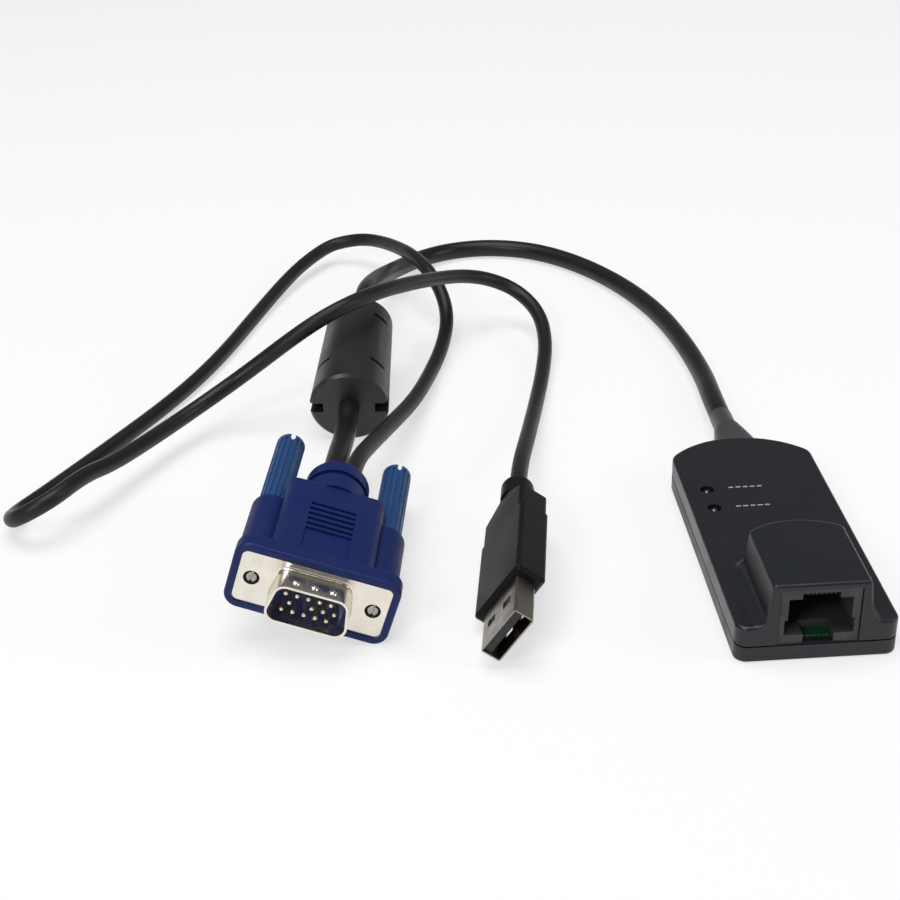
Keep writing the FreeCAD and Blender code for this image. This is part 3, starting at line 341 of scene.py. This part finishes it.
def raised(outline, low, high, bevel):
    """A mesh of an outline in millimetres raised from low to high, its edges bevelled."""
    mesh = bpy.data.meshes.new("raised")
    work = bmesh.new()
    base = work.faces.new([work.verts.new(mm(x, y, low)) for x, y in outline])
    top = bmesh.ops.extrude_face_region(work, geom=[base])["geom"]
    bmesh.ops.translate(work, vec=mm(0, 0, high - low),
                        verts=[v for v in top if isinstance(v, bmesh.types.BMVert)])
    bmesh.ops.recalc_face_normals(work, faces=work.faces)
    bmesh.ops.bevel(work, geom=work.edges[:], offset=bevel * MM, segments=2, affect="EDGES")
    work.to_mesh(mesh)
    work.free()
    return mesh


def row_tree():
    """Geometry Nodes: copies of one piece in a straight row, made once."""
    made = bpy.data.node_groups.get("Row of copies")
    if made:
        return made
    tree = bpy.data.node_groups.new("Row of copies", "GeometryNodeTree")
    for name, kind in (("Piece", "NodeSocketObject"), ("Count", "NodeSocketInt"),
                       ("Start", "NodeSocketVector"), ("Step", "NodeSocketVector"),
                       ("Material", "NodeSocketMaterial")):
        tree.interface.new_socket(name, in_out="INPUT", socket_type=kind)
    tree.interface.new_socket("Geometry", in_out="OUTPUT", socket_type="NodeSocketGeometry")
    given = add_node(tree, "NodeGroupInput").outputs
    line = add_node(tree, "GeometryNodeMeshLine", {
        "Count": given["Count"], "Start Location": given["Start"], "Offset": given["Step"]})
    piece = add_node(tree, "GeometryNodeObjectInfo", {"Object": given["Piece"]})
    row = add_node(tree, "GeometryNodeInstanceOnPoints", {
        "Points": line.outputs["Mesh"], "Instance": piece.outputs["Geometry"]})
    real = add_node(tree, "GeometryNodeRealizeInstances", {
        "Geometry": row.outputs["Instances"]})
    coated = add_node(tree, "GeometryNodeSetMaterial", {
        "Geometry": real.outputs["Geometry"], "Material": given["Material"]})
    add_node(tree, "NodeGroupOutput", {"Geometry": coated.outputs["Geometry"]})
    return tree


def rows(name, one, runs, place, finish_name, body=ADAPTER):
    """One piece made of rows of copies; each run is (start, step, count) in millimetres."""
    copy = bpy.data.objects.new("one of " + name, one)
    holder = bpy.data.objects.new("row of " + name, bpy.data.meshes.new(name))
    for helper in (copy, holder):
        bpy.context.scene.collection.objects.link(helper)
    whole = bmesh.new()
    for start, step, count in runs:
        modifier = holder.modifiers.new("Row", "NODES")
        modifier.node_group = row_tree()
        values = {"Piece": copy, "Count": count, "Start": mm(*start), "Step": mm(*step),
                  "Material": finish(finish_name)}
        for socket in modifier.node_group.interface.items_tree:
            if socket.in_out == "INPUT":
                modifier[socket.identifier] = values[socket.name]
        graph = bpy.context.evaluated_depsgraph_get()
        baked = bpy.data.meshes.new_from_object(holder.evaluated_get(graph), depsgraph=graph)
        whole.from_mesh(baked)
        holder.modifiers.remove(modifier)
    mesh = bpy.data.meshes.new(name)
    whole.to_mesh(mesh)
    whole.free()
    for helper in (copy, holder):
        bpy.data.objects.remove(helper)
    return mesh_object(name, mesh, place, finish_name, body)


# ---- what a user would change ----
class DongleCords(PropertyGroup):
    main_diameter: FloatProperty(
        name="Main cable", description="Diameter of the thick cable",
        default=5.2 * MM, min=2 * MM, unit="LENGTH")
    usb_diameter: FloatProperty(
        name="USB cable", description="Diameter of the thin cable",
        default=3.9 * MM, min=2 * MM, unit="LENGTH")


class DongleMarks(PropertyGroup):
    dash_length: FloatProperty(
        name="Dash length", description="Length of one printed dash",
        default=1.1 * MM, min=0.2 * MM, unit="LENGTH")
    dash_width: FloatProperty(
        name="Dash width", description="Width of one printed dash",
        default=0.5 * MM, min=0.1 * MM, unit="LENGTH")
    dash_pitch: FloatProperty(
        name="Dash pitch", description="Distance from dash to dash",
        default=1.6 * MM, min=0.3 * MM, unit="LENGTH")


class DongleJack(PropertyGroup):
    teeth: IntProperty(
        name="Teeth", description="Teeth of the comb that keeps the contacts apart",
        default=7, min=2)
    tooth_width: FloatProperty(
        name="Tooth width", description="Width of one tooth",
        default=0.26 * MM, min=0.1 * MM, unit="LENGTH")


class DongleStage(PropertyGroup):
    floor_size: FloatProperty(
        name="Floor", description="Side of the square floor",
        default=20.0, min=1.0, unit="LENGTH")
    lamp_power: FloatProperty(
        name="Lamps", description="Power of the overhead softbox",
        default=9.0, min=0.0, unit="POWER")
    floor_colour: FloatVectorProperty(
        name="Floor colour", description="Colour of the floor's paint",
        subtype="COLOR", size=3, default=(0.92, 0.92, 0.92), min=0, max=1)


# ---- routes and sizes, in millimetres unless a comment says otherwise ----
MAIN_ROUTE = [mm(*p) for p in (
    (0.9, 47.8, 4.2), (0.9, 58, 4.2), (2.0, 73.5, 2.9), (0.8, 94.6, 2.7),
    (-2.8, 116.9, 2.7), (-10, 137.6, 2.7), (-20, 154.9, 2.7), (-31.5, 167, 2.7),
    (-45, 172.6, 2.7), (-58.6, 171.6, 2.7), (-69.6, 164.2, 3.2), (-77.2, 148.5, 6.4),
    (-82.3, 128, 12.4))] + [
    at(FERRITE_AT, 0, 55.3, 0), at(FERRITE_AT, 0, 45, 0), at(FERRITE_AT, 0, -2, 0),
    at(FERRITE_AT, 0, -11, 0), at(VIDEO_AT, -1.6, 54, -1.0), at(VIDEO_AT, -1.6, 41, -1.0)]
USB_ROUTE = [at(VIDEO_AT, 2.3, 41, 2.2), at(VIDEO_AT, 2.3, 50, 2.2)] + [mm(*p) for p in (
    (-85.6, 29.8, 11.5), (-80.1, 46.9, 8.0), (-74.5, 63.8, 5.0), (-69.7, 82.5, 3),
    (-65.5, 99.1, 3), (-63.1, 112.9, 5.2), (-64.2, 121, 10), (-67.9, 129.3, 14),
    (-71.7, 139.9, 14.2), (-75.5, 151.5, 12.2), (-80.5, 163, 10), (-86.1, 169.9, 8.5),
    (-92.1, 172.3, 7.1), (-97.6, 171.8, 5.9), (-104.5, 161.8, 4.9), (-110.3, 151, 3.5),
    (-118.6, 128.4, 2.1), (-125.5, 105.7, 2), (-132.6, 86.9, 2), (-139.8, 71.8, 2),
    (-147.4, 57.8, 2), (-155.6, 43.3, 2),
    (-163, 30.5, 2), (-169, 19.8, 2.4), (-166, 10.5, 7), (-157.3, 11.2, 11.2),
    (-151.5, 22.6, 11), (-146.5, 30.9, 9), (-139.6, 43.1, 8), (-131.6, 55.6, 8),
    (-122.3, 63, 11.2), (-113.7, 64.9, 16.5), (-105.7, 64.7, 22.5), (-97.9, 65.4, 27.5),
    (-89.8, 69.6, 30), (-81.9, 79, 29), (-74.1, 91.5, 25.5), (-66.7, 103.7, 21.5),
    (-58.7, 114.6, 17.5), (-50.8, 119.9, 14), (-42.9, 118.9, 10.5), (-37.5, 110.9, 7),
    (-36.9, 98.2, 4), (-39.5, 82.1, 2.4), (-43.5, 62.7, 2.6), (-47.4, 43.1, 4.8))] + [
    at(USB_AT, 0, 67, 0), at(USB_AT, 0, 57, 0)]

BOARD_TOP, DECK = 3.9, 8.2              # heights of the lamps' feet and of the deck
LAMP_X = -11.15
LAMPS_Y = {"active_led": -2.2, "power_led": 5.8}
LAMP_RADIUS, FLANGE_RADIUS, FLANGE_TOP, DOME_FOOT = 1.3, 1.8, 4.7, 6.8
BOOT_AT = (0.9, 0, 4.2)
# boot's sections: distance behind the deck's middle, half width, half height, squareness
BOOT = ((28.2, 5.15, 3.55, 4.5), (29.8, 5.15, 3.55, 4.5), (30.4, 4.95, 3.45, 4.2),
        (34.0, 4.3, 3.3, 3.6), (37.6, 3.6, 3.1, 3.0), (40.2, 3.1, 2.95, 2.5),
        (41.2, 2.86, 2.84, 2.2), (41.8, 2.72, 2.72, 2.0), (47.4, 2.68, 2.68, 2.0),
        (47.8, 2.58, 2.58, 2.0))
MARKS = {"mark_by_power_led": (-2.5, 6.2), "mark_by_active_led": (-2.6, -2.0)}
DASHES, INK, INK_EDGE = 5, 0.02, 0.004

TOOTH_PITCH, TOOTH_DEPTH, TOOTH_HEIGHT = 0.92, 1.2, 0.55
COMB_AT = (0, -47.2, 14.84)
GUIDE = ((-4.61, -47.44), (-3.05, -47.44), (-3.05, -42.6), (3.05, -42.6),
         (3.05, -47.44), (4.61, -47.44), (4.61, -34.4), (-4.61, -34.4))
GUIDE_LOW, GUIDE_HIGH = 3.91, 5.893
PAD_HALF, PAD_LENGTH, PAD_HEIGHT, PAD_PITCH, PADS = 0.33, 0.8, 0.26, 0.8, 7
PAD_INSET = 0.05

PIN_RADIUS, PIN_TIP, PIN_FOOT = 0.5, -5.0, 6.9
# rows of pins: across and up from the plug's middle, and the count
PIN_PITCH = 2.29
PIN_ROWS = ((-5.15, 1.98, 5), (-5.15, -1.98, 5), (-4.005, 0, 1), (0.575, 0, 3))

SCREW_X = {"left": -12.5, "right": 12.5}
THREADS, THREAD_PITCH, THREAD_FOOT = 15, 0.5, 1.0
# one thread: radius and height of its root and of the two edges of its crest
THREAD = ((1.16, 0), (1.4, 0.2), (1.4, 0.28))
DOG_POINT = [(0, 0.12), (1.02, 0.12), (1.12, 0.22), (1.12, 0.9)]
SHANK = [(1.41, 8.9), (1.41, 20.9), (0, 20.9)]
SLOT_HALF, SLOT_REACH, SLOT_DEPTH = 0.24, 2, 0.75
LAY_DOWN = Matrix.Rotation(math.radians(-90), 4, "X")   # from upright to along the plug

# stage, in metres and degrees
GLOW = 0.62                # share of the floor's white that is light, where it is seen
FLOOR_GAP = 2e-5           # how far the floor lies under the object
HORIZON, DIM = (0.06, 1.0), (0.14, 0.16)   # height of a direction, and strength there
# softboxes: place, side and share of the overhead lamp's power
SOFTBOXES = {"softbox above": ((-0.15, 0.05, 1.1), 0.8, 1.0),
             "softbox front left": ((-0.6, -0.75, 0.7), 0.3, 0.45),
             "softbox right": ((0.85, -0.2, 0.5), 0.35, 0.22)}
LAMPS_AIM = (-0.06, 0.05, 0.0)
CAMERA_AT = (-0.08161, -0.29484, 0.18651)
CAMERA_LOOK, CAMERA_ROLL = (0.0385, 0.8762, -0.4804), -1.774
LENS_MM, SENSOR_MM = 62.93, 36.0


# ---- operators ----
class DONGLE_OT_stage(Operator):
    """Adds the floor, the lamps, the surroundings and the camera"""
    bl_idname = "dongle.stage"
    bl_label = "Stage"

    def execute(self, context):
        scene = context.scene
        sizes = scene.dongle_stage
        scene.view_settings.view_transform = "Standard"

        # floor: painted board; seen straight or in a reflection it is part white
        # light, so that it stays white and still keeps the object's soft shadow
        board = bpy.data.materials.new("painted board, white")
        board.use_nodes = True
        tree = board.node_tree
        paint = tree.nodes["Principled BSDF"]
        paint.inputs["Base Color"].default_value = (*sizes.floor_colour, 1.0)
        paint.inputs["Roughness"].default_value = 0.9
        paint.inputs["Specular IOR Level"].default_value = 0.1
        rays = add_node(tree, "ShaderNodeLightPath").outputs
        seen = rays["Is Camera Ray"]
        for other in ("Is Glossy Ray", "Is Transmission Ray"):
            seen = add_node(tree, "ShaderNodeMath", {0: seen, 1: rays[other]},
                            operation="MAXIMUM").outputs[0]
        share = add_node(tree, "ShaderNodeMath", {0: seen, 1: GLOW},
                         operation="MULTIPLY").outputs[0]
        glow = add_node(tree, "ShaderNodeEmission", {"Color": (1, 1, 1, 1), "Strength": 1.0})
        mixed = add_node(tree, "ShaderNodeMixShader", {
            0: share, 1: paint.outputs[0], 2: glow.outputs[0]})
        tree.links.new(mixed.outputs[0], tree.nodes["Material Output"].inputs["Surface"])
        half = sizes.floor_size / 2
        mesh = bpy.data.meshes.new("floor")
        mesh.from_pydata([(x * half, y * half, -FLOOR_GAP)
                          for x, y in ((-1, -1), (1, -1), (1, 1), (-1, 1))],
                         [], [(0, 1, 2, 3)])
        mesh.materials.append(board)
        floor = bpy.data.objects.new("floor", mesh)
        scene.collection.objects.link(floor)

        # surroundings: a studio sweep, white along the horizon and dim above
        world = bpy.data.worlds.new("pale room")
        scene.world = world
        world.use_nodes = True
        tree = world.node_tree
        room = tree.nodes["Background"]
        room.inputs["Color"].default_value = (1, 1, 1, 1)
        ways = add_node(tree, "ShaderNodeTexCoord").outputs["Generated"]
        height = add_node(tree, "ShaderNodeSeparateXYZ", {"Vector": ways}).outputs["Z"]
        sweep = add_node(tree, "ShaderNodeMapRange", {
            "Value": height, "From Min": HORIZON[0], "From Max": DIM[0],
            "To Min": HORIZON[1], "To Max": DIM[1]})
        tree.links.new(sweep.outputs["Result"], room.inputs["Strength"])

        # lamps: a large softbox above and a smaller one at the front left and at the right
        for name, (place, side, share) in SOFTBOXES.items():
            light = bpy.data.lights.new(name, "AREA")
            light.shape, light.size = "SQUARE", side
            light.energy = sizes.lamp_power * share
            lamp = bpy.data.objects.new(name, light)
            scene.collection.objects.link(lamp)
            lamp.location = place
            lamp.rotation_mode = "QUATERNION"
            aim = Vector(LAMPS_AIM) - Vector(place)
            lamp.rotation_quaternion = aim.to_track_quat("-Z", "Y")

        # camera: in front of the plugs, looking down on them with a slight roll
        lens = bpy.data.cameras.new("camera")
        lens.lens, lens.sensor_width, lens.clip_start = LENS_MM, SENSOR_MM, 0.01
        camera = bpy.data.objects.new("camera", lens)
        scene.collection.objects.link(camera)
        look = Vector(CAMERA_LOOK).normalized()
        level = look.cross(Vector((0, 0, 1))).normalized()
        turn = Matrix((level, level.cross(look), -look)).transposed()
        roll = Matrix.Rotation(math.radians(CAMERA_ROLL), 3, "Z")
        camera.matrix_world = Matrix.Translation(CAMERA_AT) @ (turn @ roll).to_4x4()
        scene.camera = camera
        return {"FINISHED"}


class DONGLE_OT_cords(Operator):
    """Lays the thick and the thin cable along their routes"""
    bl_idname = "dongle.cords"
    bl_label = "Cords"

    def execute(self, context):
        sizes = context.scene.dongle_cords
        main = cord_curve("main_cord", MAIN_ROUTE, sizes.main_diameter, "main_cable")
        thin = cord_curve("usb_cord", USB_ROUTE, sizes.usb_diameter, "usb_cable")
        return {"FINISHED"}


class DONGLE_OT_module(Operator):
    """Finishes the module's shells, board, lamps and boot"""
    bl_idname = "dongle.module"
    bl_label = "Module"

    def execute(self, context):
        dress(("upper_cover",), "moulded ABS, charcoal")
        dress(("lower_case",), "moulded ABS, charcoal, scuffed")
        dress(("circuit_board",), "FR-4 board, green solder mask")
        # lamps: a flange on the board, a stem and a dome just under the deck
        dome = [(LAMP_RADIUS * math.cos(a), DOME_FOOT + LAMP_RADIUS * math.sin(a))
                for a in (math.radians(9 * k) for k in range(10))]
        profile = [(0, BOARD_TOP), (FLANGE_RADIUS, BOARD_TOP), (FLANGE_RADIUS, FLANGE_TOP),
                   (LAMP_RADIUS, FLANGE_TOP)] + dome + [(0, DOME_FOOT + LAMP_RADIUS)]
        for name, y in LAMPS_Y.items():
            lamp = mesh_piece(name + "_lens", *turned(profile),
                              Matrix.Translation(mm(LAMP_X, y, 0)),
                              "smoked acrylic", "lamp_plastic")
            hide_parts(name)
        # boot: a flattened root that tapers to a short round nose on the cable
        boot = mesh_piece("tapered_boot", *lofted(BOOT), Matrix.Translation(mm(*BOOT_AT)),
                          "soft PVC, warm grey", "boot_rubber", smooth=40)
        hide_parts("cable_boot")
        return {"FINISHED"}


class DONGLE_OT_marks(Operator):
    """Prints a plain row of dashes beside each lamp"""
    bl_idname = "dongle.marks"
    bl_label = "Printed marks"

    def execute(self, context):
        sizes = context.scene.dongle_marks
        length, width, pitch = (v / MM for v in (
            sizes.dash_length, sizes.dash_width, sizes.dash_pitch))
        outline = [(x * length / 2, y * width / 2)
                   for x, y in ((-1, -1), (1, -1), (1, 1), (-1, 1))]
        first = -pitch * (DASHES - 1) / 2
        for name, (x, y) in MARKS.items():
            rows(name, raised(outline, 0, INK, INK_EDGE),
                 [((first, 0, 0), (pitch, 0, 0), DASHES)],
                 Matrix.Translation(mm(x, y, DECK)), "pad-printing ink, pale grey")
        return {"FINISHED"}


class DONGLE_OT_jack(Operator):
    """Finishes the jack and stands the comb's teeth in its roof"""
    bl_idname = "dongle.jack"
    bl_label = "Jack"

    def execute(self, context):
        sizes = context.scene.dongle_jack
        dress(("jack_housing",), "glass-filled PBT, dark grey")
        dress(("jack_contacts",), "gold-plated phosphor bronze")
        # teeth that keep the contacts apart, seen under the roof of the comb
        half = sizes.tooth_width / MM / 2
        tooth = raised([(-half, 0), (half, 0), (half, TOOTH_DEPTH), (-half, TOOTH_DEPTH)],
                       0, TOOTH_HEIGHT, 0.03)
        first = -TOOTH_PITCH * (sizes.teeth - 1) / 2
        rows("jack_comb_teeth", tooth, [((first, 0, 0), (TOOTH_PITCH, 0, 0), sizes.teeth)],
             Matrix.Translation(mm(*COMB_AT)), "glass-filled PBT, dark grey")
        # guide of the plug's latch: two cheeks joined behind by a floor
        guide = raised(GUIDE, GUIDE_LOW, GUIDE_HIGH, 0.04)
        mesh_object("jack_latch_guide", guide, Matrix(), "glass-filled PBT, dark grey")
        # tinned pads along the front edge of the board, seen through the latch slot
        low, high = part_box("circuit_board")
        pad = raised([(-PAD_HALF, 0), (PAD_HALF, 0), (PAD_HALF, PAD_LENGTH),
                      (-PAD_HALF, PAD_LENGTH)], 0, PAD_HEIGHT, 0.11)
        first = -PAD_PITCH * (PADS - 1) / 2
        rows("board_edge_pads", pad, [((first, 0, 0), (PAD_PITCH, 0, 0), PADS)],
             Matrix.Translation((0, low[1] + PAD_INSET * MM, high[2])),
             "tinned copper")
        return {"FINISHED"}


class DONGLE_OT_ferrite(Operator):
    """Finishes the ferrite and the sleeve round it"""
    bl_idname = "dongle.ferrite"
    bl_label = "Ferrite"

    def execute(self, context):
        dress(("ferrite_sleeve",), "polyamide sleeve, dark grey")
        dress(("ferrite_core",), "sintered ferrite")
        return {"FINISHED"}


class DONGLE_OT_video_plug(Operator):
    """Finishes the video plug"""
    bl_idname = "dongle.video_plug"
    bl_label = "Video plug"

    def execute(self, context):
        dress(("vga_hood",), "PVC overmould, navy")
        dress(("vga_shell",), "nickel-plated steel")
        dress(("vga_insulator",), "PBT insert, blue-black")
        # fourteen round-nosed pins in three rows; the middle row leaves one place out
        nose = [(PIN_RADIUS * math.cos(a), PIN_TIP + PIN_RADIUS * (1 - math.sin(a)))
                for a in (math.radians(15 * k) for k in range(5, -1, -1))]
        verts, faces = turned(
            [(0, PIN_TIP)] + nose + [(PIN_RADIUS, PIN_FOOT), (0, PIN_FOOT)], 20)
        pin = bpy.data.meshes.new("pin")
        pin.from_pydata([mm(*v) for v in verts], [], faces)
        pins = rows("vga_round_pins", pin,
                    [((x, y, 0), (PIN_PITCH, 0, 0), count) for x, y, count in PIN_ROWS],
                    VIDEO_AT @ LAY_DOWN, "flash-plated pins")
        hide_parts("vga_pins")
        return {"FINISHED"}


class DONGLE_OT_thumbscrews(Operator):
    """Finishes the two thumbscrews"""
    bl_idname = "dongle.thumbscrews"
    bl_label = "Thumbscrews"

    def execute(self, context):
        dress(("thumbscrew_left_knob", "thumbscrew_right_knob"), "PVC knob, blue")
        # screws: a slotted dog point, thread crests and a plain shank in the knob
        thread = [(radius, THREAD_FOOT + THREAD_PITCH * k + rise)
                  for k in range(THREADS) for radius, rise in THREAD]
        profile = DOG_POINT + thread + SHANK
        for side, x in SCREW_X.items():
            place = VIDEO_AT @ Matrix.Translation(mm(x, 0, 0)) @ LAY_DOWN
            screw = mesh_piece("slotted_screw_" + side, *turned(profile, 28), place,
                               "zinc-plated steel", "screw_steel", "thumbscrew_" + side, 35)
            slot = raised([(-SLOT_HALF, -SLOT_REACH), (SLOT_HALF, -SLOT_REACH),
                           (SLOT_HALF, SLOT_REACH), (-SLOT_HALF, SLOT_REACH)],
                          -1, SLOT_DEPTH, 0.01)
            slot.transform(place)
            cutter = bpy.data.objects.new("slot", slot)
            context.scene.collection.objects.link(cutter)
            cut = screw.modifiers.new("Slot", "BOOLEAN")
            cut.operation, cut.solver, cut.object = "DIFFERENCE", "EXACT", cutter
            graph = context.evaluated_depsgraph_get()
            screw.data = bpy.data.meshes.new_from_object(
                screw.evaluated_get(graph), depsgraph=graph)
            screw.modifiers.remove(cut)
            bpy.data.objects.remove(cutter)
            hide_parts("thumbscrew_%s_screw" % side)
        return {"FINISHED"}


class DONGLE_OT_usb_plug(Operator):
    """Finishes the USB plug"""
    bl_idname = "dongle.usb_plug"
    bl_label = "USB plug"

    def execute(self, context):
        dress(("usb_shell",), "nickel-plated steel, brushed")
        dress(("usb_tongue",), "PBT tongue, black")
        dress(("usb_contacts",), "gold-plated phosphor bronze")
        dress(("usb_overmould",), "PVC overmould, black")
        return {"FINISHED"}


GROUPS = {"dongle_cords": DongleCords, "dongle_marks": DongleMarks,
          "dongle_jack": DongleJack, "dongle_stage": DongleStage}
OPERATORS = (DONGLE_OT_stage, DONGLE_OT_module, DONGLE_OT_marks, DONGLE_OT_jack,
             DONGLE_OT_ferrite, DONGLE_OT_video_plug, DONGLE_OT_thumbscrews,
             DONGLE_OT_usb_plug, DONGLE_OT_cords)


class DONGLE_PT_panel(Panel):
    """The dongle's sizes and the operators that make its pieces"""
    bl_idname = "DONGLE_PT_panel"
    bl_label = "Console dongle"
    bl_space_type = "VIEW_3D"
    bl_region_type = "UI"
    bl_category = "Dongle"

    def draw(self, context):
        for name, group in GROUPS.items():
            for prop in group.__annotations__:
                self.layout.prop(getattr(context.scene, name), prop)
        for operator in OPERATORS:
            self.layout.operator(operator.bl_idname)


def register():
    for cls in (*GROUPS.values(), *OPERATORS, DONGLE_PT_panel):
        bpy.utils.register_class(cls)
    for name, group in GROUPS.items():
        setattr(bpy.types.Scene, name, PointerProperty(type=group))


def unregister():
    for name in GROUPS:
        delattr(bpy.types.Scene, name)
    for cls in reversed((*GROUPS.values(), *OPERATORS, DONGLE_PT_panel)):
        bpy.utils.unregister_class(cls)


def main():
    register()
    for operator in OPERATORS:
        group, name = operator.bl_idname.split(".")
        getattr(getattr(bpy.ops, group), name)()
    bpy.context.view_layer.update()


if __name__ == "__main__":
    main()
